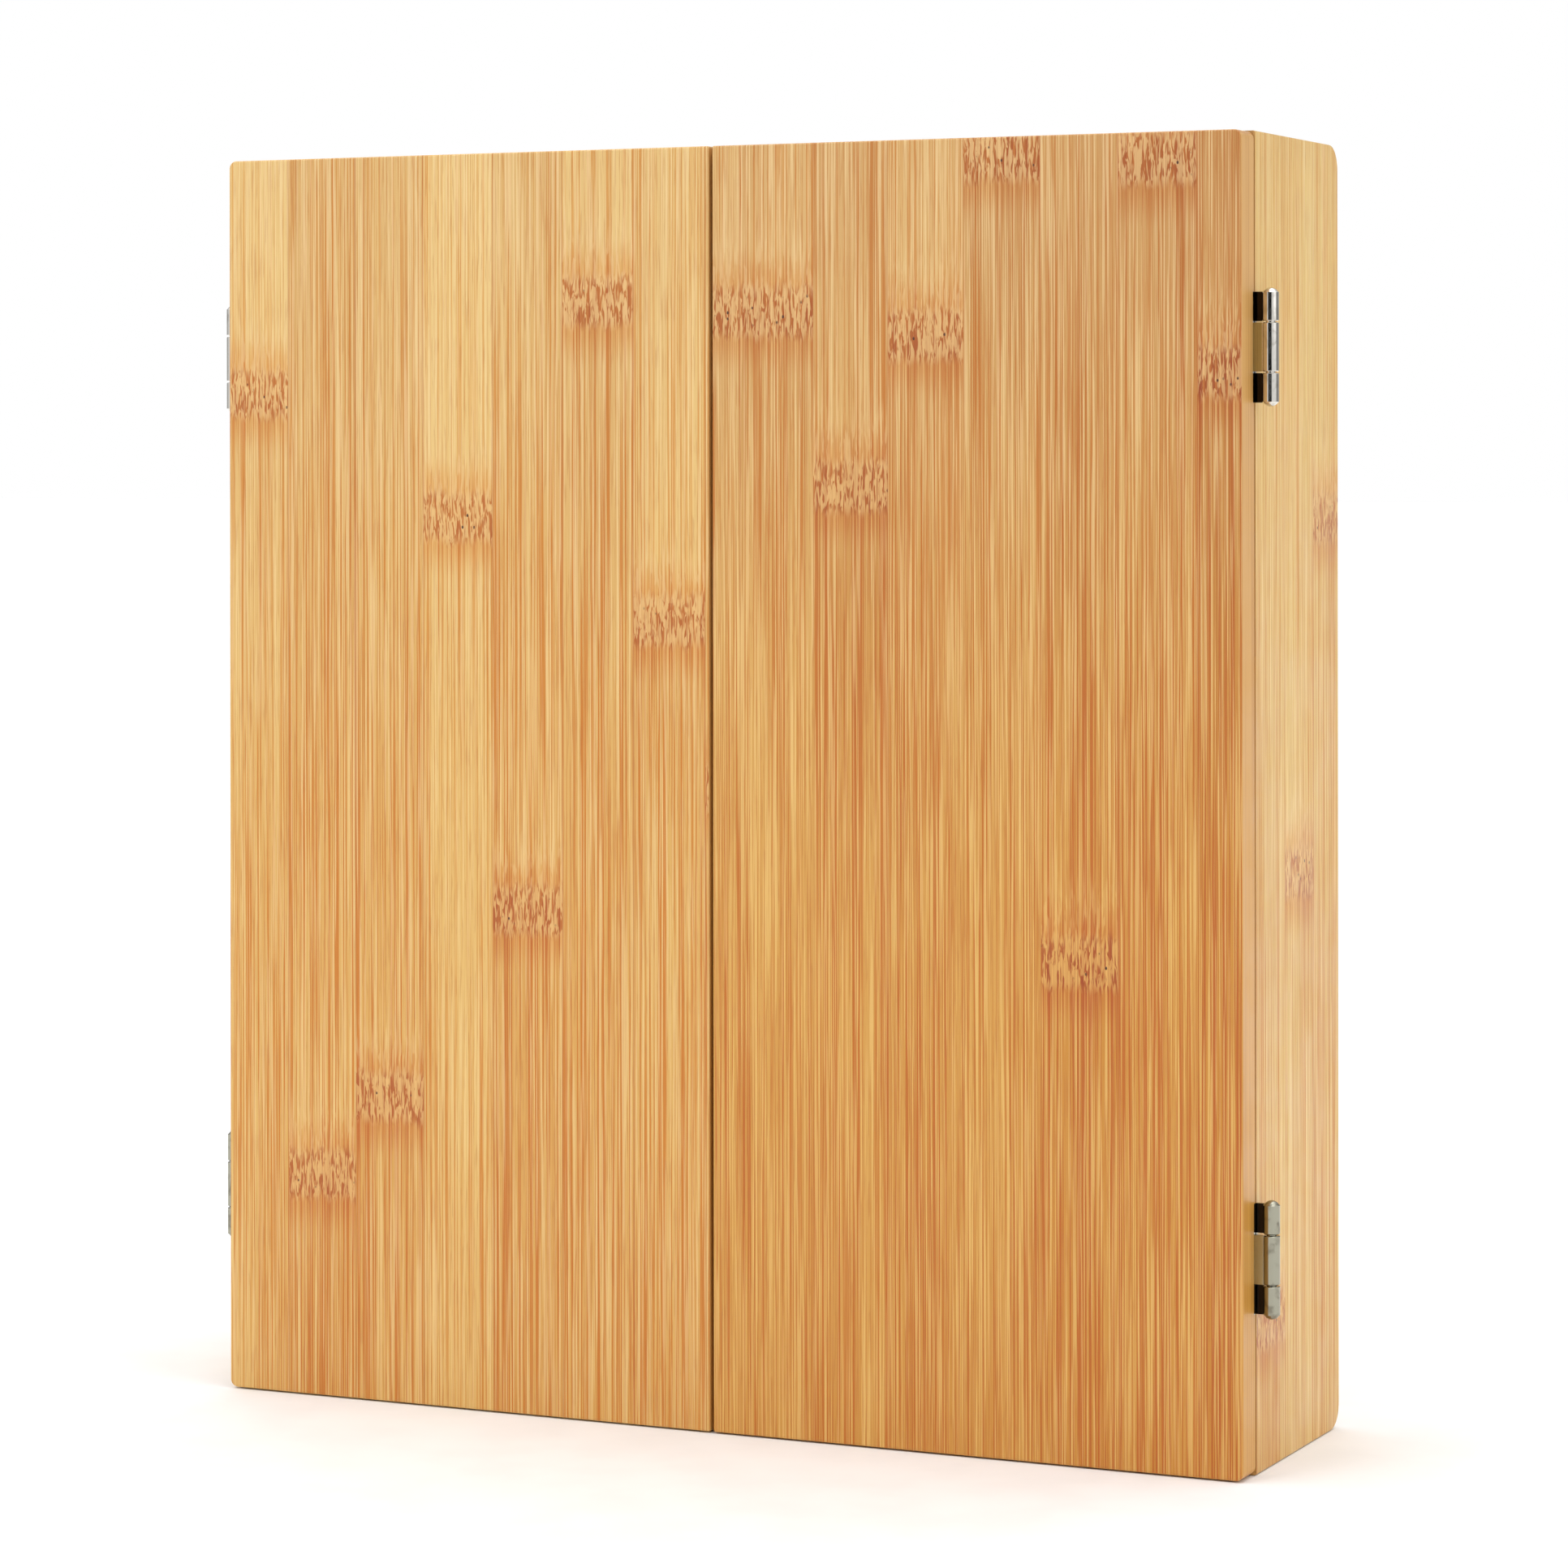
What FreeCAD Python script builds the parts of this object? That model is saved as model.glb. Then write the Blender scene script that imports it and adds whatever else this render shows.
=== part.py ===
"""A bamboo dart board cabinet: a shallow wall box with two doors on butt hinges, and a small
bristle board, dart racks and score boards inside. Writes one STEP per sub-part to parts/.

Millimetres. X is the viewer's right, Y runs from the doors to the wall, Z is up. The origin is
at the middle of the box's outline, at the height of its underside.
"""

import FreeCAD, Part
import os

V = FreeCAD.Vector
X_AXIS, Y_AXIS, Z_AXIS = V(1, 0, 0), V(0, 1, 0), V(0, 0, 1)
MIDDLE = V(0, 0, 0)

# ---- driving dimensions ----
WIDTH, HEIGHT, DEPTH = 348.0, 400.0, 91.0   # over the side panels, and doors included
DOOR_T = 11.0              # door board
BOARD_T = 12.0             # board that the box is made of
BACK_T = 5.0               # back panel
SEAM = 1.0                 # between a door's back and the box's front edges
DOOR_GAP = 1.2             # between the two doors
DOOR_TRIM = 0.3            # a door stops this short of the box, above and below
EASE = 0.6                 # sanded edges
DOOR_CORNER_R = 2.5        # outer corners of a door, seen from the front
REAR_CORNER_R = 7.5        # rear corners of the box, seen from the side
REBATE = 4.0               # how far the back panel reaches into the box's boards

# ---- hinges ----
HINGE_L = 33.0             # barrel and leaf height
HINGE_INSET = 64.5         # hinge centre from the top, and from the bottom
AXIS_OUT = 5.0             # hinge axis outside the side panel's face
BARREL_R, BARREL_CHAMFER = 2.5, 0.25
LEAF_T = 1.0
LEAF_REACH = 10.5          # leaf from the side panel's face inwards
KNUCKLE_GAP = 0.4
OUTER_KNUCKLE_L = 8.8
PIN_SLACK = 0.05
PIN_HEAD_R, PIN_HEAD_H = 2.2, 1.2
SCREW_R, SCREW_HEAD_R, SCREW_L = 1.1, 2.1, 8.0
LEAF_SCREW_Z = 10.0        # leaf screws above and below the hinge's centre

# ---- box fittings ----
DOWEL_R, DOWEL_IN_SIDE, DOWEL_IN_SHELF = 3.0, 8.0, 18.0
DOWEL_YS = (-14.0, 22.0)
BACK_SCREW_R, BACK_SCREW_HEAD_R, BACK_SCREW_L = 1.0, 1.9, 12.0
RAIL_H, RAIL_T = 16.0, 12.0
WALL_HOLE_R, WALL_HOLE_X = 2.5, 120.0
MAGNET_R, MAGNET_T, MAGNET_X = 3.5, 3.0, 12.0

# ---- bristle board ----
DISC_R, DISC_T = 152.0, 24.2
BAND_T = 0.9
BACKING_T = 4.0
BOARD_STANDOFF = 5.0       # board's back to the back panel
RING_RADII = (4.3, 10.8, 67.0, 72.4, 109.6, 115.0)   # bull, outer bull, treble and double wires
WIRE_W, WIRE_H = 0.9, 1.0
SECTORS = 20
NUMBER_RING_R = 144.0
NUMBER_RING_WIRE_R = 0.9
CLIP_W, CLIP_L, CLIP_H = 3.0, 7.0, 2.4
HANG_NECK_R, HANG_HEAD_R, HANG_HEAD_T = 2.2, 5.0, 1.5
HANG_SLACK = 0.4           # bracket's plate to the hanger screw's head, and to the board's back
BRACKET_T = 1.2
BRACKET_HALF, BRACKET_FOOT = 14.0, 11.0
BRACKET_BELOW, BRACKET_ABOVE = 18.0, 10.0
BRACKET_SCREW_R, BRACKET_SCREW_HEAD_R, BRACKET_SCREW_L = 1.2, 2.2, 5.0
BUMPER_R, BUMPER_CIRCLE_R, BUMPER_SLACK = 7.0, 105.0, 0.4

# ---- door fittings ----
SCORE_W, SCORE_H, SCORE_T = 132.0, 166.0, 3.0
SCORE_LOW_Z = 206.0
SCORE_CORNER_R = 4.0
SCORE_SCREW_INSET = 6.0
SCORE_HEAD_R, SCORE_HEAD_H = 2.4, 1.0
RACK_W, RACK_D, RACK_T = 100.0, 26.0, 12.0
RACK_LOW_Z = 52.0
RACK_CORNER_R = 4.0
SOCKET_R, SOCKET_DEPTH, POINT_HOLE_R = 3.7, 8.0, 1.6
RACK_DOWEL_R, RACK_DOWEL_X = 2.0, 42.0

# ---- darts ----
DART_PITCH = 34.0
DART_OUT = 18.0            # dart's axis from the door's back
POINT_R, POINT_L, POINT_IN = 1.0, 28.0, 10.0
BARREL_L, DART_BARREL_R, BARREL_END_R = 42.0, 3.2, 2.3
GROOVES, GROOVE_DEPTH = 9, 0.35
STEM_L, STEM_R, STEM_COLLAR_R, STEM_IN = 34.0, 1.9, 2.5, 6.0
FLIGHT_W, FLIGHT_T = 27.0, 0.6
FLIGHT_LOW, FLIGHT_HIGH = 61.0, 98.0   # above the barrel's lower end
DART_REST = 0.3            # left between a dart's shoulder and its socket

# ---- worked out ----
HALF_W = WIDTH / 2
FRONT_Y, BACK_Y = -DEPTH / 2, DEPTH / 2
DOOR_BACK_Y = FRONT_Y + DOOR_T
BOX_FRONT_Y = DOOR_BACK_Y + SEAM
INNER_HALF_W = HALF_W - BOARD_T
BACK_FACE_Y = BACK_Y - BACK_T
AXIS_X, AXIS_Y = HALF_W + AXIS_OUT, DOOR_BACK_Y + SEAM / 2
PIN_R = BARREL_R - LEAF_T - PIN_SLACK
HINGE_ZS = {"lower": HINGE_INSET, "upper": HEIGHT - HINGE_INSET}
SIDES = {"left": -1, "right": 1}
CENTRE_Z = HEIGHT / 2
DISC_BACK_Y = BACK_FACE_Y - BOARD_STANDOFF
DISC_FRONT_Y = DISC_BACK_Y - DISC_T
PLATE_Y = DISC_BACK_Y + HANG_SLACK    # front of the bracket's plate
FITTING_X = INNER_HALF_W / 2 + 1.0    # middle of what a door carries
RACK_TOP_Z = RACK_LOW_Z + RACK_T
STEP_Z = RACK_TOP_Z - SOCKET_DEPTH
DART_Y = DOOR_BACK_Y + DART_OUT


# ---- helpers ----
def box(x0, x1, y0, y1, z0, z1):
    return Part.makeBox(x1 - x0, y1 - y0, z1 - z0, V(x0, y0, z0))


def rod(radius, start, end):
    """A round bar from one point to another."""
    return Part.makeCylinder(radius, (end - start).Length, start, end - start)


def cone(r_start, r_end, start, end):
    return Part.makeCone(r_start, r_end, (end - start).Length, start, end - start)


def ring(r_in, r_out, start, end):
    return rod(r_out, start, end).cut(rod(r_in, start, end))


def rounded(shape, radius, chosen):
    """The shape with its edges rounded where chosen(middle of edge, direction of edge) is true."""
    edges = [e for e in shape.Edges if chosen(e.CenterOfMass, along(e))]
    return shape.makeFillet(radius, edges)


def along(edge):
    """Unit direction of a straight edge, with positive parts, or None for a curved one."""
    if edge.Curve.TypeId != "Part::GeomLine":
        return None
    d = (edge.Vertexes[-1].Point - edge.Vertexes[0].Point).normalize()
    return V(abs(d.x), abs(d.y), abs(d.z))


def runs(direction, axis):
    return direction is not None and direction.dot(axis) > 0.99


def both_sides(shape):
    """The shape and its mirror image in the plane X = 0."""
    return [shape, shape.mirror(MIDDLE, X_AXIS)]


def to_side(shape, sign):
    """A right-hand shape, mirrored for the left-hand side."""
    return shape if sign > 0 else shape.mirror(MIDDLE, X_AXIS)


def cross_recess(head_r, at):
    """The cross for the screwdriver, in a head whose axis runs along Y and whose top is at the point."""
    reach, half, deep = 0.62 * head_r, 0.12 * head_r, 0.32 * head_r
    bar = box(at.x - reach, at.x + reach, at.y - deep, at.y + deep, at.z - half, at.z + half)
    across = box(at.x - half, at.x + half, at.y - deep, at.y + deep, at.z - reach, at.z + reach)
    return bar.fuse(across).removeSplitter()


def countersunk_blank(radius, head_r, length, at, inwards):
    """A countersunk screw before its cross is cut: its flat head's centre is at the point given."""
    head_h = head_r - radius
    tip_l = 1.5 * radius
    end = at + inwards * (length - tip_l)
    head = cone(head_r, radius, at, at + inwards * head_h)
    shank = rod(radius, at + inwards * head_h, end)
    tip = cone(radius, 0.2 * radius, end, at + inwards * length)
    return head.fuse([shank, tip]).removeSplitter()


def crossed(blanks, head_r, spots):
    """The screws with a cross cut in each head."""
    return [blank.cut(cross_recess(head_r, at)) for blank, at in zip(blanks, spots)]


# ---- hinges ----
# A right-hand hinge. face is -1 for the leaf on the door and 1 for the leaf on the box.
def leaf_ys(face):
    """The leaf's two faces, in rising order."""
    return sorted((AXIS_Y + face * SEAM / 2, AXIS_Y + face * (SEAM / 2 + LEAF_T)))


def knuckle(face, z0, z1):
    """A section of the barrel, and the strip of the leaf that runs out to it."""
    low, high = V(AXIS_X, AXIS_Y, z0), V(AXIS_X, AXIS_Y, z1)
    barrel = rod(BARREL_R, low, high)
    barrel = barrel.makeChamfer(BARREL_CHAMFER, [e for e in barrel.Edges if along(e) is None])
    strip = box(HALF_W, AXIS_X, *leaf_ys(face), z0, z1)
    return barrel.fuse(strip).removeSplitter().cut(rod(PIN_R + PIN_SLACK, low, high))


def knuckle_spans(face, z0, z1):
    """The door's leaf has the middle knuckle and the box's leaf has the outer two."""
    if face < 0:
        inset = OUTER_KNUCKLE_L + KNUCKLE_GAP
        return [(z0 + inset, z1 - inset)]
    return [(z0, z0 + OUTER_KNUCKLE_L), (z1 - OUTER_KNUCKLE_L, z1)]


def leaf(face, mid_z):
    z0, z1 = mid_z - HINGE_L / 2, mid_z + HINGE_L / 2
    plate = box(HALF_W - LEAF_REACH, HALF_W, *leaf_ys(face), z0, z1)
    knuckles = [knuckle(face, *span) for span in knuckle_spans(face, z0, z1)]
    return plate.fuse(knuckles).removeSplitter().cut(leaf_screw_blanks(face))


def leaf_screw_spots(face):
    """The head centres of one door's hinge screws, on the leaves' inner faces."""
    y = AXIS_Y + face * SEAM / 2
    x = HALF_W - LEAF_REACH / 2
    return [V(x, y, mid_z + dz) for mid_z in HINGE_ZS.values() for dz in (-LEAF_SCREW_Z, LEAF_SCREW_Z)]


def leaf_screw_blanks(face):
    inwards = Y_AXIS * face
    return [countersunk_blank(SCREW_R, SCREW_HEAD_R, SCREW_L, at, inwards) for at in leaf_screw_spots(face)]


def leaf_screws(face):
    return crossed(leaf_screw_blanks(face), SCREW_HEAD_R, leaf_screw_spots(face))


def mortise(face, mid_z):
    """The recess that the leaf lies in, left open at the side panel's face."""
    z0, z1 = mid_z - HINGE_L / 2, mid_z + HINGE_L / 2
    return box(HALF_W - LEAF_REACH, HALF_W + 1, *leaf_ys(face), z0, z1)


def pin_head(z, up):
    """A domed head: the slice of a ball that has the head's width and height."""
    ball_r = (PIN_HEAD_R ** 2 + PIN_HEAD_H ** 2) / (2 * PIN_HEAD_H)
    base = V(AXIS_X, AXIS_Y, z)
    ball = Part.makeSphere(ball_r, base + Z_AXIS * up * (PIN_HEAD_H - ball_r))
    return ball.common(rod(PIN_HEAD_R + 1, base, base + Z_AXIS * up * 2 * PIN_HEAD_H))


def pin(mid_z):
    z0, z1 = mid_z - HINGE_L / 2, mid_z + HINGE_L / 2
    shank = rod(PIN_R, V(AXIS_X, AXIS_Y, z0), V(AXIS_X, AXIS_Y, z1))
    return shank.fuse([pin_head(z0, -1), pin_head(z1, 1)]).removeSplitter()


def hinges():
    parts = {}
    for side, sign in SIDES.items():
        for level, z in HINGE_ZS.items():
            parts[f"{level}_{side}_hinge_box_leaf"] = [to_side(leaf(1, z), sign)]
            parts[f"{level}_{side}_hinge_door_leaf"] = [to_side(leaf(-1, z), sign)]
            parts[f"{level}_{side}_hinge_pin"] = [to_side(pin(z), sign)]
    parts["box_leaf_screws"] = [to_side(s, sign) for sign in SIDES.values() for s in leaf_screws(1)]
    return parts


# ---- the box ----
def wall_holes(y0, y1):
    """The four holes for the wall screws."""
    zs = (BOARD_T + RAIL_H / 2, HEIGHT - BOARD_T - RAIL_H / 2)
    return [rod(WALL_HOLE_R, V(x, y0, z), V(x, y1, z)) for x in (-WALL_HOLE_X, WALL_HOLE_X) for z in zs]


def dowels():
    """The eight pegs between the upright boards and the shelves."""
    pegs = []
    for z in (BOARD_T / 2, HEIGHT - BOARD_T / 2):
        for y in DOWEL_YS:
            start = V(INNER_HALF_W - DOWEL_IN_SHELF, y, z)
            pegs += both_sides(rod(DOWEL_R, start, V(INNER_HALF_W + DOWEL_IN_SIDE, y, z)))
    return pegs


def back_screw_spots():
    """Ten places round the back panel's edge."""
    x, z_low = INNER_HALF_W + REBATE / 2, BOARD_T - REBATE / 2
    spots = [(x, z) for z in (60.0, CENTRE_Z, HEIGHT - 60.0)] + [(80.0, z_low), (80.0, HEIGHT - z_low)]
    return [V(sign * sx, BACK_Y, sz) for sign in SIDES.values() for sx, sz in spots]


def back_screw_blanks():
    size = (BACK_SCREW_R, BACK_SCREW_HEAD_R, BACK_SCREW_L)
    return [countersunk_blank(*size, at, -Y_AXIS) for at in back_screw_spots()]


def magnets():
    """Four catch magnets in the front edges of the top and bottom boards."""
    found = []
    for z in (BOARD_T / 2, HEIGHT - BOARD_T / 2):
        start = V(MAGNET_X, BOX_FRONT_Y, z)
        found += both_sides(rod(MAGNET_R, start, start + Y_AXIS * MAGNET_T))
    return found


def back_space():
    """The space that the back panel fills, and its rebates with it."""
    reach_x, z0, z1 = INNER_HALF_W + REBATE, BOARD_T - REBATE, HEIGHT - BOARD_T + REBATE
    return box(-reach_x, reach_x, BACK_FACE_Y, BACK_Y, z0, z1)


def side_panel():
    """The right-hand upright board."""
    board = box(INNER_HALF_W, HALF_W, BOX_FRONT_Y, BACK_Y, 0, HEIGHT)
    board = rounded(board, REAR_CORNER_R, lambda c, d: runs(d, X_AXIS) and c.y > BACK_Y - 1)
    board = rounded(board, EASE, lambda c, d: c.x > HALF_W - 0.01 and c.y > BOX_FRONT_Y + 0.01)
    cuts = [mortise(1, z) for z in HINGE_ZS.values()] + leaf_screw_blanks(1)
    return board.cut(cuts + [back_space()] + dowels() + back_screw_blanks())


def shelf(top):
    """The board between the uprights, at the top or at the bottom."""
    z0 = HEIGHT - BOARD_T if top else 0.0
    outer_z = HEIGHT if top else 0.0
    board = box(-INNER_HALF_W, INNER_HALF_W, BOX_FRONT_Y, BACK_Y, z0, z0 + BOARD_T)
    board = rounded(board, REAR_CORNER_R,
                    lambda c, d: runs(d, X_AXIS) and c.y > BACK_Y - 1 and abs(c.z - outer_z) < 1)
    return board.cut([back_space()] + dowels() + back_screw_blanks() + magnets())


def rail(z0):
    """A strip that stiffens the back panel where the wall screws go through."""
    strip = box(-INNER_HALF_W, INNER_HALF_W, BACK_FACE_Y - RAIL_T, BACK_FACE_Y, z0, z0 + RAIL_H)
    strip = rounded(strip, EASE, lambda c, d: runs(d, X_AXIS) and c.y < BACK_FACE_Y - RAIL_T + 0.01)
    return strip.cut(wall_holes(BACK_FACE_Y - RAIL_T, BACK_FACE_Y))


def carcass():
    side = side_panel()
    holes = wall_holes(BACK_FACE_Y, BACK_Y) + back_screw_blanks() + bracket_screw_blanks()
    back = back_space().cut(holes)
    return {
        "left_side_panel": [to_side(side, -1)],
        "right_side_panel": [side],
        "top_panel": [shelf(True)],
        "bottom_panel": [shelf(False)],
        "back_panel": [back],
        "upper_mounting_rail": [rail(HEIGHT - BOARD_T - RAIL_H)],
        "lower_mounting_rail": [rail(BOARD_T)],
        "corner_dowels": dowels(),
        "back_panel_screws": crossed(back_screw_blanks(), BACK_SCREW_HEAD_R, back_screw_spots()),
        "catch_magnets": magnets(),
    }


# ---- board bracket and bristle board ----
def bracket_screw_spots():
    x = BRACKET_HALF + BRACKET_FOOT / 2
    zs = (CENTRE_Z - BRACKET_BELOW + 5, CENTRE_Z + BRACKET_ABOVE - 5)
    return [V(sx, BACK_FACE_Y - BRACKET_T, z) for sx in (-x, x) for z in zs]


def bracket_screw_blanks():
    size = (BRACKET_SCREW_R, BRACKET_SCREW_HEAD_R, BRACKET_SCREW_L)
    return [countersunk_blank(*size, at, Y_AXIS) for at in bracket_screw_spots()]


def bracket():
    """A pressed steel hanger: a raised plate with a slot open at the top, on two feet."""
    z0, z1 = CENTRE_Z - BRACKET_BELOW, CENTRE_Z + BRACKET_ABOVE
    plate_back = PLATE_Y + BRACKET_T
    inner_x = BRACKET_HALF - BRACKET_T
    plate = box(-BRACKET_HALF, BRACKET_HALF, PLATE_Y, plate_back, z0, z1)
    wall = box(inner_x, BRACKET_HALF, PLATE_Y, BACK_FACE_Y, z0, z1)
    foot = box(inner_x, BRACKET_HALF + BRACKET_FOOT, BACK_FACE_Y - BRACKET_T, BACK_FACE_Y, z0, z1)
    shape = plate.fuse(both_sides(wall) + both_sides(foot)).removeSplitter()
    slot_r = HANG_NECK_R + PIN_SLACK
    slot = rod(slot_r, centre(PLATE_Y), centre(plate_back))
    mouth = box(-slot_r, slot_r, PLATE_Y, plate_back, CENTRE_Z, z1)
    return shape.cut([slot, mouth] + bracket_screw_blanks())


def centre(y):
    """A point on the board's axis."""
    return V(0, y, CENTRE_Z)


def turn(shape, degrees):
    """The shape, turned about the board's axis."""
    shape.rotate(centre(0), Y_AXIS, degrees)
    return shape


def spider():
    """The wire frame on the board's face: six rings and the twenty lines between the sectors."""
    y0, y1 = DISC_FRONT_Y - WIRE_H, DISC_FRONT_Y
    rings = [ring(r - WIRE_W / 2, r + WIRE_W / 2, centre(y0), centre(y1)) for r in RING_RADII]
    line = box(-WIRE_W / 2, WIRE_W / 2, y0, y1, CENTRE_Z + RING_RADII[1], CENTRE_Z + RING_RADII[-1])
    lines = [turn(line.copy(), (k + 0.5) * 360 / SECTORS) for k in range(SECTORS)]
    web = rings[1].fuse(rings[2:] + lines).removeSplitter()
    return [rings[0]] + web.Solids


def hanger():
    """The screw at the middle of the board's back, whose head drops behind the bracket."""
    neck_end = PLATE_Y + BRACKET_T + HANG_SLACK
    head = rod(HANG_HEAD_R, centre(neck_end), centre(neck_end + HANG_HEAD_T))
    neck = rod(HANG_NECK_R, centre(DISC_BACK_Y - BACKING_T), centre(neck_end))
    return head.fuse(neck).removeSplitter()


def clips():
    """Four small blocks that hold the number ring to the face."""
    found = []
    for k in range(4):
        block = box(-CLIP_L / 2, CLIP_L / 2, DISC_FRONT_Y - CLIP_H, DISC_FRONT_Y,
                    CENTRE_Z + NUMBER_RING_R - CLIP_W / 2, CENTRE_Z + NUMBER_RING_R + CLIP_W / 2)
        block = rounded(block, EASE, lambda c, d: c.y < DISC_FRONT_Y - CLIP_H + 0.01)
        found.append(turn(block, 45 + 90 * k))
    return found


def bumpers():
    """Three rubber feet on the board's back, just clear of the back panel."""
    spot = centre(DISC_BACK_Y) + Z_AXIS * BUMPER_CIRCLE_R
    foot = rod(BUMPER_R, spot, spot + Y_AXIS * (BOARD_STANDOFF - BUMPER_SLACK))
    return [turn(foot.copy(), 120 * k) for k in range(3)]


def bristle_board():
    core_r = DISC_R - BAND_T
    front, back = centre(DISC_FRONT_Y), centre(DISC_BACK_Y)
    core_back = centre(DISC_BACK_Y - BACKING_T)
    wire_centre = centre(DISC_FRONT_Y - NUMBER_RING_WIRE_R)
    number_ring = Part.makeTorus(NUMBER_RING_R, NUMBER_RING_WIRE_R, wire_centre, Y_AXIS)
    return {
        "bristle_disc": [rod(core_r, front, core_back)],
        "board_backing": [rod(core_r, core_back, back).cut(hanger())],
        "board_band": [ring(core_r, DISC_R, front, back)],
        "wire_spider": spider(),
        "number_ring": number_ring.cut(clips()).Solids,
        "number_ring_clips": clips(),
        "board_hanger_screw": [hanger()],
        "board_bumpers": bumpers(),
    }


# ---- darts ----
def turned(profile):
    """A solid of revolution about Z from (radius, height) points, closed along the axis."""
    low, high = profile[0][1], profile[-1][1]
    points = [V(0, 0, low)] + [V(r, 0, z) for r, z in profile] + [V(0, 0, high)]
    return Part.Face(Part.makePolygon(points + points[:1])).revolve(MIDDLE, Z_AXIS, 360)


def dart_point():
    tip = 6.0
    return turned([(0.15, -POINT_L), (POINT_R, tip - POINT_L), (POINT_R, POINT_IN)])


def dart_barrel():
    """The grip, with rings cut round it, bored for its point and its stem."""
    end, start = BARREL_L - 5.0, 5.0
    pitch = (end - start) / GROOVES
    outline = [(BARREL_END_R, 0.0), (DART_BARREL_R, start)]
    for k in range(GROOVES):
        z = start + k * pitch
        low_r = DART_BARREL_R - GROOVE_DEPTH
        outline += [(DART_BARREL_R, z + 0.45 * pitch), (low_r, z + 0.6 * pitch),
                    (low_r, z + 0.85 * pitch), (DART_BARREL_R, z + pitch)]
    outline.append((BARREL_END_R, BARREL_L))
    point_bore = rod(POINT_R, MIDDLE, V(0, 0, POINT_IN))
    stem_bore = rod(STEM_R - 0.5, V(0, 0, BARREL_L - STEM_IN), V(0, 0, BARREL_L))
    return turned(outline).cut([point_bore, stem_bore])


def dart_flight():
    """Four fins: two thin plates that cross on the dart's axis."""
    half, low, high = FLIGHT_W / 2, FLIGHT_LOW, FLIGHT_HIGH
    right = [(half * 0.55, low + 5), (half, low + 15), (half, high - 7), (half * 0.7, high)]
    left = [(-x, z) for x, z in reversed(right)]
    corners = [V(x, -FLIGHT_T / 2, z) for x, z in [(0, low)] + right + left]
    plate = Part.Face(Part.makePolygon(corners + corners[:1])).extrude(Y_AXIS * FLIGHT_T)
    plate.rotate(MIDDLE, Z_AXIS, 45)
    return plate.fuse(plate.mirror(MIDDLE, X_AXIS)).removeSplitter()


def dart_stem():
    top = BARREL_L + STEM_L
    outline = [(STEM_R - 0.5, BARREL_L - STEM_IN), (STEM_R - 0.5, BARREL_L), (STEM_COLLAR_R, BARREL_L),
               (STEM_COLLAR_R, BARREL_L + 4), (STEM_R, BARREL_L + 7), (STEM_R, top - 2), (STEM_R - 0.8, top)]
    return turned(outline).cut(dart_flight())


def dart_spots(sign):
    """Where a door's three darts stand, at the height of their shoulders."""
    return [V(sign * (FITTING_X + k * DART_PITCH), DART_Y, STEP_Z + DART_REST) for k in (-1, 0, 1)]


def darts():
    grip, tail = [dart_point(), dart_barrel()], [dart_stem(), dart_flight()]
    parts = {}
    spots = dart_spots(-1) + dart_spots(1)
    for number, spot in enumerate(spots, start=1):
        for name, pieces in (("barrel_and_point", grip), ("stem_and_flight", tail)):
            placed = [p.copy() for p in pieces]
            for p in placed:
                p.translate(spot)
            parts[f"dart_{number}_{name}"] = placed
    return parts


# ---- doors ----
def strikes():
    """Steel discs in a right-hand door's back, opposite the magnets."""
    zs = (BOARD_T / 2, HEIGHT - BOARD_T / 2)
    return [rod(MAGNET_R, V(MAGNET_X, DOOR_BACK_Y - 1.5, z), V(MAGNET_X, DOOR_BACK_Y, z)) for z in zs]


def rack_dowels():
    xs = (FITTING_X - RACK_DOWEL_X, FITTING_X + RACK_DOWEL_X)
    z = RACK_LOW_Z + RACK_T / 2
    return [rod(RACK_DOWEL_R, V(x, DOOR_BACK_Y - 5, z), V(x, DOOR_BACK_Y + 14, z)) for x in xs]


def rack():
    """A right-hand dart rack: a block with three stepped holes."""
    x0, x1 = FITTING_X - RACK_W / 2, FITTING_X + RACK_W / 2
    y1 = DOOR_BACK_Y + RACK_D
    block = box(x0, x1, DOOR_BACK_Y, y1, RACK_LOW_Z, RACK_TOP_Z)
    block = rounded(block, RACK_CORNER_R, lambda c, d: runs(d, Z_AXIS) and c.y > y1 - 1)
    block = rounded(block, EASE, lambda c, d: c.y > DOOR_BACK_Y + 0.01 and not runs(d, Z_AXIS))
    holes = []
    for spot in dart_spots(1):
        x, y = spot.x, spot.y
        holes.append(rod(SOCKET_R, V(x, y, STEP_Z), V(x, y, RACK_TOP_Z)))
        holes.append(rod(POINT_HOLE_R, V(x, y, RACK_LOW_Z), V(x, y, STEP_Z)))
    return block.cut(holes + rack_dowels())


def score_screw_spots():
    """The corners of a right-hand score board, on its face."""
    dx = SCORE_W / 2 - SCORE_SCREW_INSET
    zs = (SCORE_LOW_Z + SCORE_SCREW_INSET, SCORE_LOW_Z + SCORE_H - SCORE_SCREW_INSET)
    return [V(x, DOOR_BACK_Y + SCORE_T, z) for x in (FITTING_X - dx, FITTING_X + dx) for z in zs]


def score_screw_blank(at):
    """A round-headed screw before its cross is cut."""
    top = at + Y_AXIS * SCORE_HEAD_H
    head = rod(SCORE_HEAD_R, at, top)
    head = rounded(head, 0.8 * SCORE_HEAD_H, lambda c, d: c.y > top.y - 0.01)
    return head.fuse(rod(SCREW_R, at - Y_AXIS * SCREW_L, at)).removeSplitter()


def score_screw_blanks():
    return [score_screw_blank(at) for at in score_screw_spots()]


def score_screws():
    tops = [at + Y_AXIS * SCORE_HEAD_H for at in score_screw_spots()]
    return crossed(score_screw_blanks(), SCORE_HEAD_R, tops)


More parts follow.
